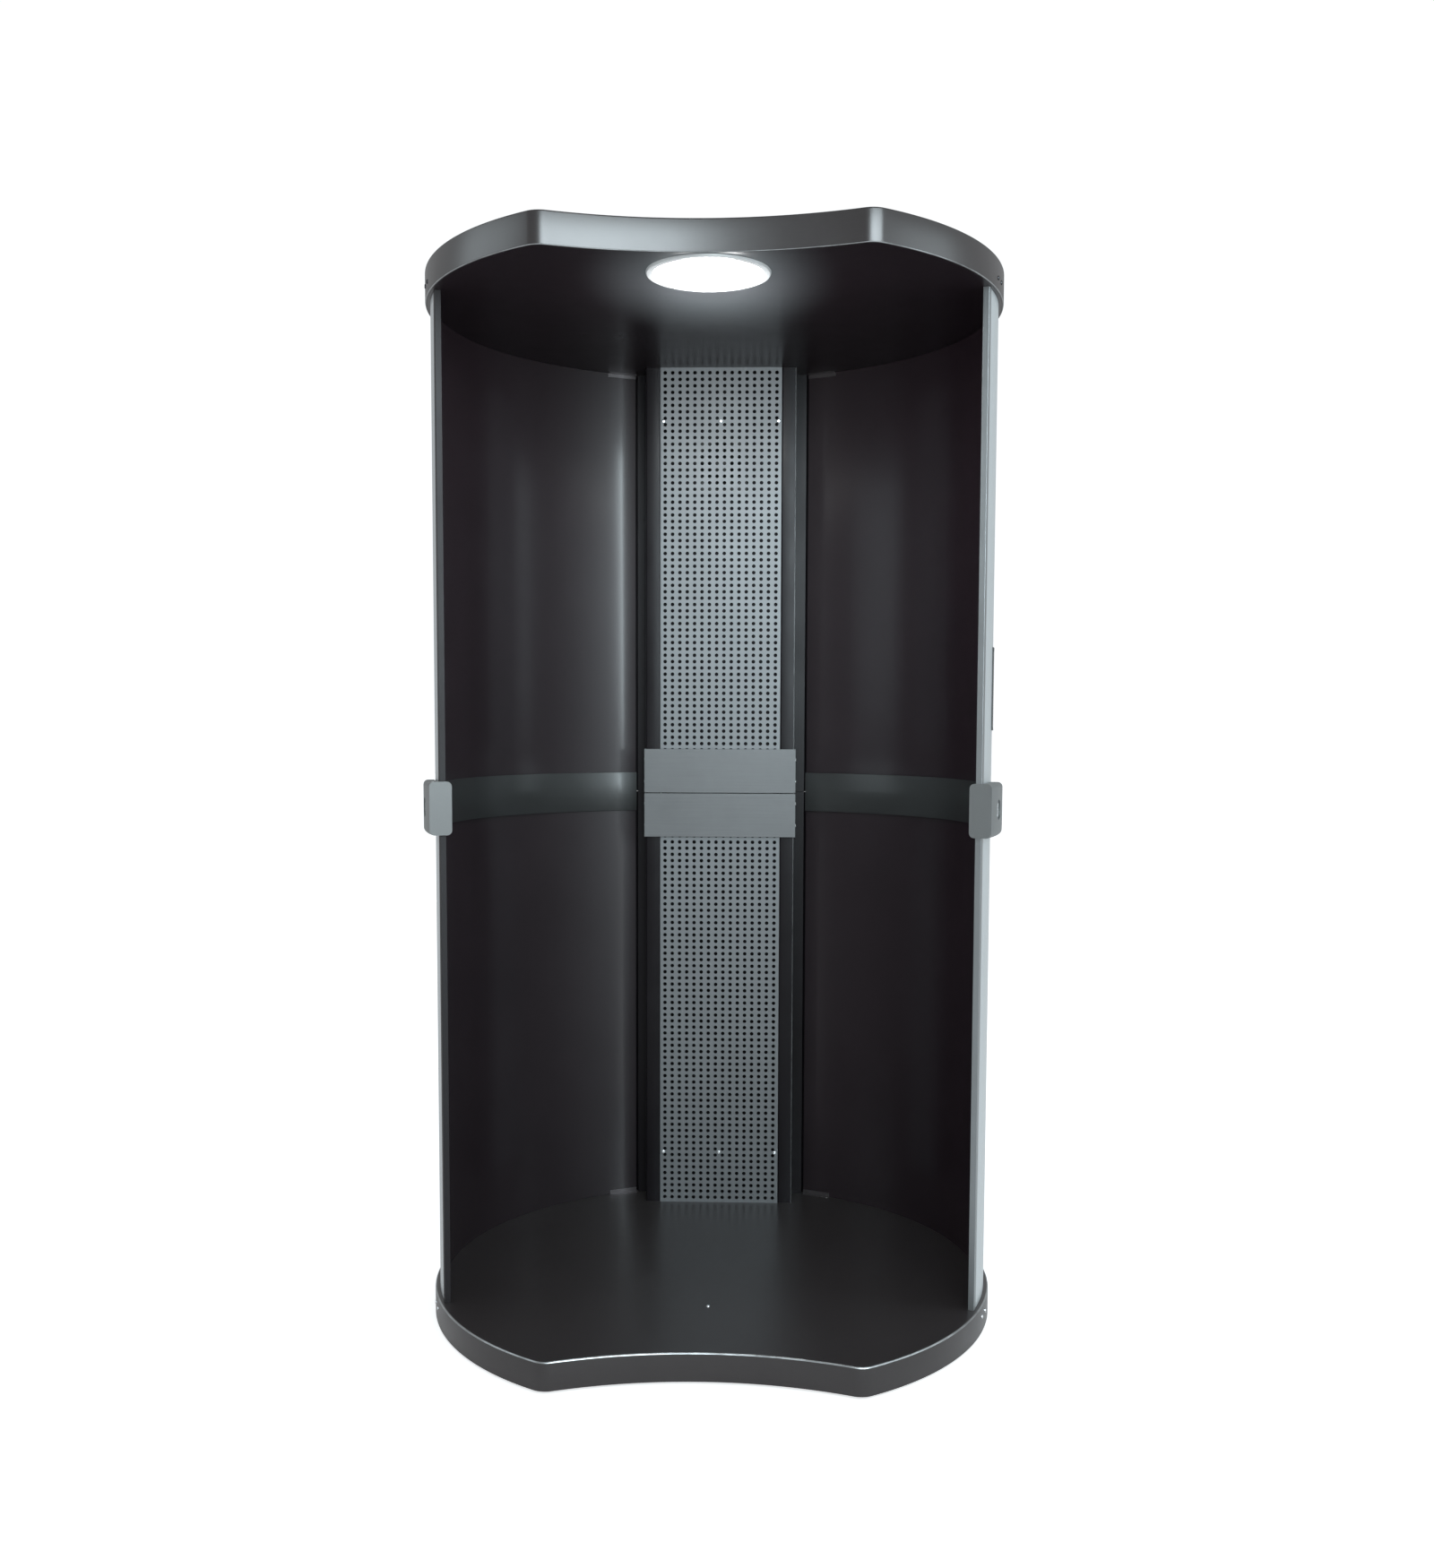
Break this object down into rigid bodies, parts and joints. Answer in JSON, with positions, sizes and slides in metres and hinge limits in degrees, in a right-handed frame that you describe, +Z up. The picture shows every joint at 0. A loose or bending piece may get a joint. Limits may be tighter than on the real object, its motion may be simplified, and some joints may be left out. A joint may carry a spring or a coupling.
{
  "type": "photo booth",
  "caption": "Round open-fronted standing photo booth in two stacked halves, with curved walls, a perforated rear spine and a round ceiling light.",
  "frame": {"origin": "on the floor, at the middle of the outline", "axes": "+Z up, the open front faces -Y, +X to the right of a person looking into the booth"},
  "size_m": [1.1748, 1.0863, 2.12],
  "materials": {
    "black_shell": "satin black paint over folded sheet",
    "frame_steel": "black primer",
    "rubber": "matte rubber",
    "bright_screw": "zinc plated",
    "dark_screw": "black zinc",
    "wall_board": "semi-gloss black laminate",
    "outer_skin": "pale silver paint",
    "edge_trim": "satin anodised",
    "spine_black": "semi-matte black paint",
    "perforated_sheet": "satin grey paint",
    "joint_steel": "brushed, lines across",
    "nylon": "moulded",
    "steel_pin": "ground steel",
    "bracket": "bare",
    "ceiling_black": "satin black",
    "bezel_white": "white",
    "diffuser": "opal, lit",
    "heat_sink": "die cast",
    "driver_case": "moulded",
    "cable_black": "cable sheath",
    "band": "satin black-grey paint",
    "clip_grey": "grey, fine texture",
    "knob_steel": "turned",
    "black_plastic": "moulded",
    "smoke_flap": "glossy"
  },
  "bodies": {
    "lower_half": {"alignment_pins": "steel_pin", "base_frame": "frame_steel", "base_screws": "bright_screw", "base_shell": "black_shell", "feet": "rubber", "lower_back_plate": "spine_black", "lower_brackets": "bracket", "lower_cable": "cable_black", "lower_joint_plate": "joint_steel", "lower_left_post": "spine_black", "lower_left_skin": "outer_skin", "lower_left_trim": "edge_trim", "lower_left_wall": "wall_board", "lower_perforated_panel": "perforated_sheet", "lower_post_plugs": "nylon", "lower_rear_cover": "outer_skin", "lower_right_post": "spine_black", "lower_right_skin": "outer_skin", "lower_right_trim": "edge_trim", "lower_right_wall": "wall_board", "lower_spine_screws": "bright_screw", "power_inlet": "black_plastic", "service_plate": "black_plastic", "switch_housing": "black_plastic"},
    "upper_half": {"cap_frame": "frame_steel", "cap_screws": "dark_screw", "cap_shell": "black_shell", "ceiling_panel": "ceiling_black", "delivery_chute": "black_plastic", "fan_frame": "black_plastic", "led_driver": "driver_case", "left_splice_band": "band", "light_bezel": "bezel_white", "light_diffuser": "diffuser", "light_housing": "heat_sink", "right_splice_band": "band", "upper_back_plate": "spine_black", "upper_brackets": "bracket", "upper_cable": "cable_black", "upper_joint_plate": "joint_steel", "upper_left_post": "spine_black", "upper_left_skin": "outer_skin", "upper_left_trim": "edge_trim", "upper_left_wall": "wall_board", "upper_perforated_panel": "perforated_sheet", "upper_post_plugs": "nylon", "upper_rear_cover": "outer_skin", "upper_right_post": "spine_black", "upper_right_skin": "outer_skin", "upper_right_trim": "edge_trim", "upper_right_wall": "wall_board", "upper_spine_screws": "bright_screw"},
    "delivery_flap": {"delivery_flap": "smoke_flap"},
    "fan_rotor": {"fan_rotor": "black_plastic"},
    "left_knob": {"left_clip_knob": "knob_steel"},
    "left_clip": {"left_edge_clip": "clip_grey"},
    "right_knob": {"right_clip_knob": "knob_steel"},
    "right_clip": {"right_edge_clip": "clip_grey"},
    "switch_rocker": {"switch_rocker": "black_plastic"}
  },
  "joints": [
    {"name": "upper_half_lift", "type": "slide", "parent": "lower_half", "child": "upper_half", "axis": [0, 0, 1], "range_m": [0, 0.3]},
    {"name": "left_clip_slide", "type": "hinge", "parent": "lower_half", "child": "left_clip", "pos_m": [0, -0.04175, 1.06], "axis": [0, 0, 1], "range_deg": [0, 14]},
    {"name": "right_clip_slide", "type": "hinge", "parent": "lower_half", "child": "right_clip", "pos_m": [0, -0.04175, 1.06], "axis": [0, 0, -1], "range_deg": [0, 14]},
    {"name": "left_knob_turn", "type": "hinge", "parent": "left_clip", "child": "left_knob", "pos_m": [-0.5669, -0.21846, 1.06], "axis": [-0.9547, -0.2976, 0], "range_deg": [0, 90]},
    {"name": "right_knob_turn", "type": "hinge", "parent": "right_clip", "child": "right_knob", "pos_m": [0.5669, -0.21846, 1.06], "axis": [0.9547, -0.2976, 0], "range_deg": [0, 90]},
    {"name": "fan_spin", "type": "hinge", "parent": "upper_half", "child": "fan_rotor", "pos_m": [0, 0.46365, 1.84], "axis": [0, 1, 0], "continuous": true},
    {"name": "flap_swing", "type": "hinge", "parent": "upper_half", "child": "delivery_flap", "pos_m": [0.56685, -0.13457, 1.373], "axis": [-0.1616, -0.9869, 0], "range_deg": [0, 75]},
    {"name": "switch_rock", "type": "hinge", "parent": "lower_half", "child": "switch_rocker", "pos_m": [0.03, 0.5337, 0.14], "axis": [1, 0, 0], "range_deg": [-16, 0]}
  ]
}
